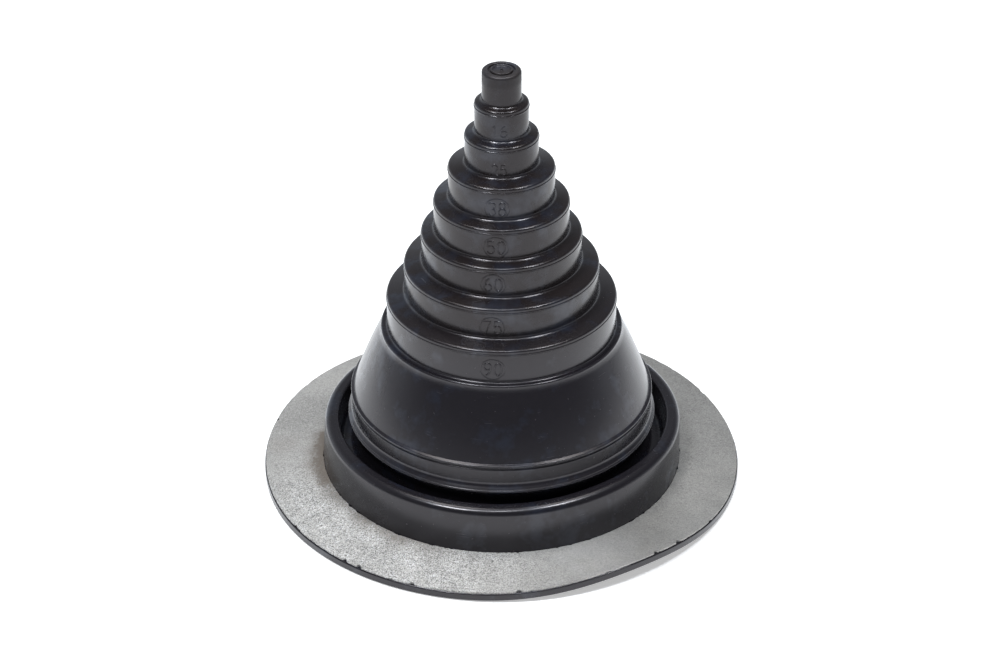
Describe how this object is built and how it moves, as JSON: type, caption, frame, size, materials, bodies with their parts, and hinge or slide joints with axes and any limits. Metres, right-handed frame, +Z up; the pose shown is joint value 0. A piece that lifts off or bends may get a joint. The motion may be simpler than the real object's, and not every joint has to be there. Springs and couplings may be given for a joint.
{
  "type": "pipe flashing boot",
  "caption": "Stepped rubber roof flashing boot on a round flange with a bonded metal sheet, cut to suit the pipe that passes through it.",
  "frame": {"origin": "centre of the circle on which the flange rests", "axes": "+Z up along the axis of the cone, -Y towards the side with the moulded sizes, +X to that side's right"},
  "size_m": [0.1762, 0.1762, 0.1639],
  "materials": {
    "rubber": "satin",
    "sheet": "matte"
  },
  "bodies": {
    "root": {"rubber_boot": "rubber", "flange_sheet": "sheet"}
  },
  "joints": []
}
